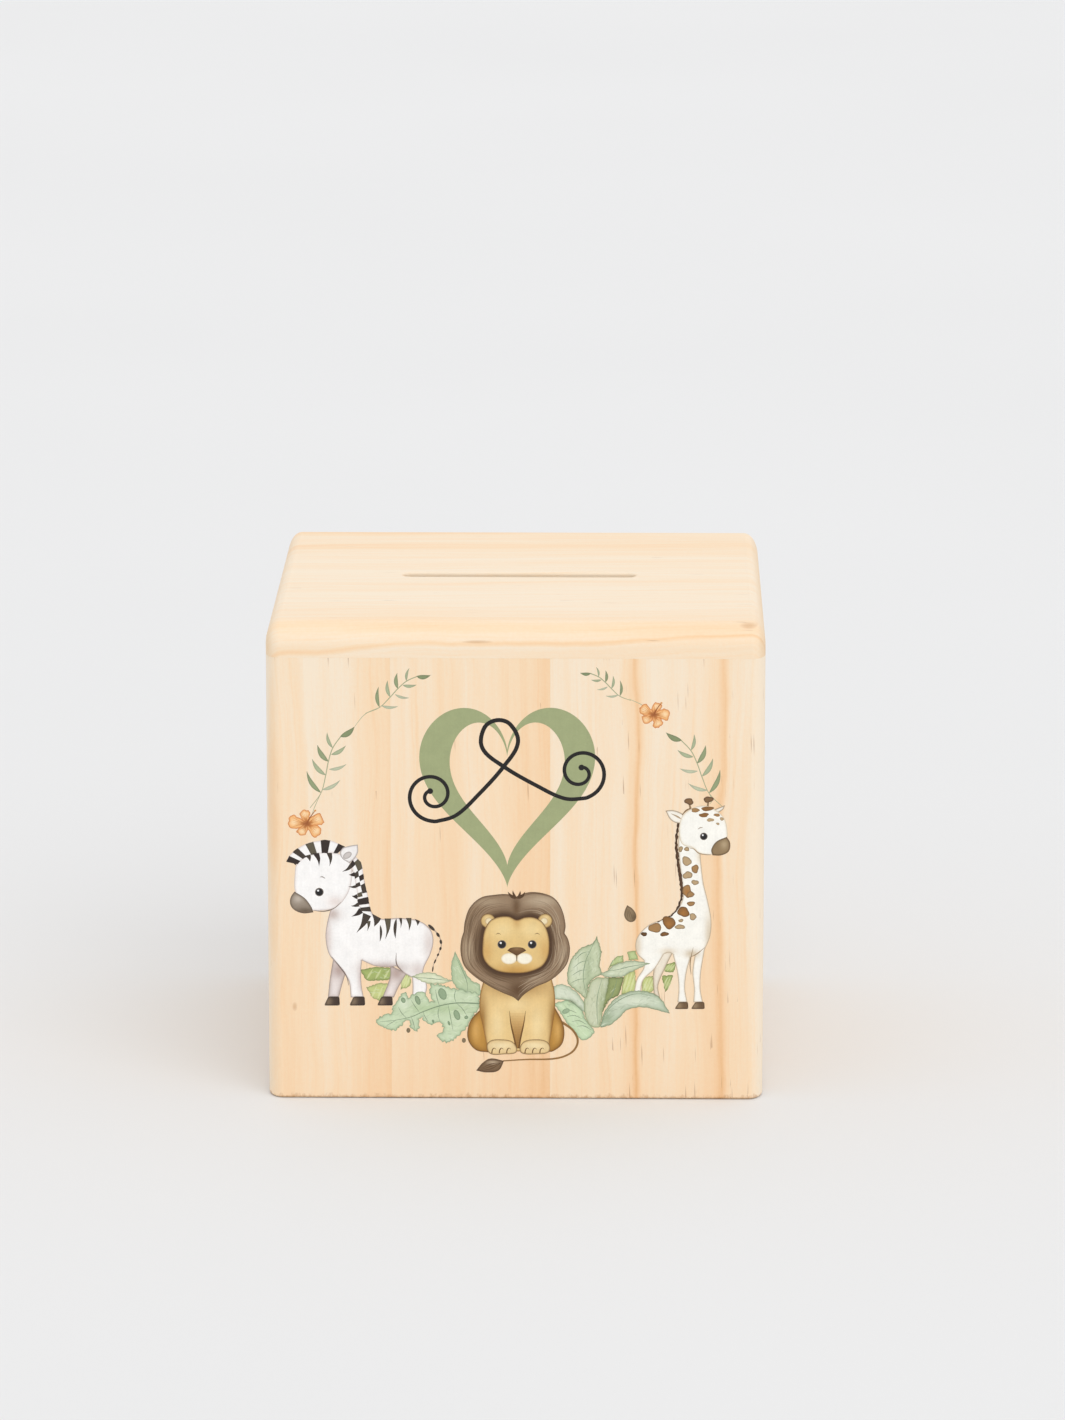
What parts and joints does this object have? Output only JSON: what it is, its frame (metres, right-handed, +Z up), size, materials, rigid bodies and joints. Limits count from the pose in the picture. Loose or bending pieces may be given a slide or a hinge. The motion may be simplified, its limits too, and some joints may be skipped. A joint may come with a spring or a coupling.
{
  "type": "wooden money box",
  "caption": "Cube money box of glued pine boards with rounded edges, a coin slot in its top and a swinging plywood flap under its base.",
  "frame": {"origin": "centre of the footprint, on the surface that the box stands on", "axes": "+Z up, -Y out of the front wall, which carries the printed picture, and +X to the right of a person who faces it"},
  "size_m": [0.1, 0.1, 0.098],
  "materials": {
    "pine": "sanded and left bare, matt",
    "plywood": "sanded poplar plywood, matt",
    "steel": "zinc plated, satin"
  },
  "bodies": {
    "box": {"top_front_stave": "pine", "top_middle_stave": "pine", "top_back_stave": "pine", "front_left_stave": "pine", "front_middle_stave": "pine", "front_right_stave": "pine", "back_left_stave": "pine", "back_middle_stave": "pine", "back_right_stave": "pine", "left_front_stave": "pine", "left_middle_stave": "pine", "left_back_stave": "pine", "right_front_stave": "pine", "right_middle_stave": "pine", "right_back_stave": "pine", "base_board": "plywood", "pivot_screw": "steel", "pivot_washer": "steel", "latch_washer": "steel"},
    "flap": {"access_flap": "plywood"},
    "latch_screw": {"latch_screw": "steel"}
  },
  "joints": [
    {"name": "flap_swing", "type": "hinge", "parent": "box", "child": "flap", "pos_m": [0.033, -0.024, 0.0062], "axis": [0, 0, -1], "range_deg": [0, 55]},
    {"name": "latch_screw_turn", "type": "hinge", "parent": "box", "child": "latch_screw", "pos_m": [-0.01563, -0.02756, 0.004], "axis": [0, 0, 1], "range_deg": [0, 180]}
  ]
}
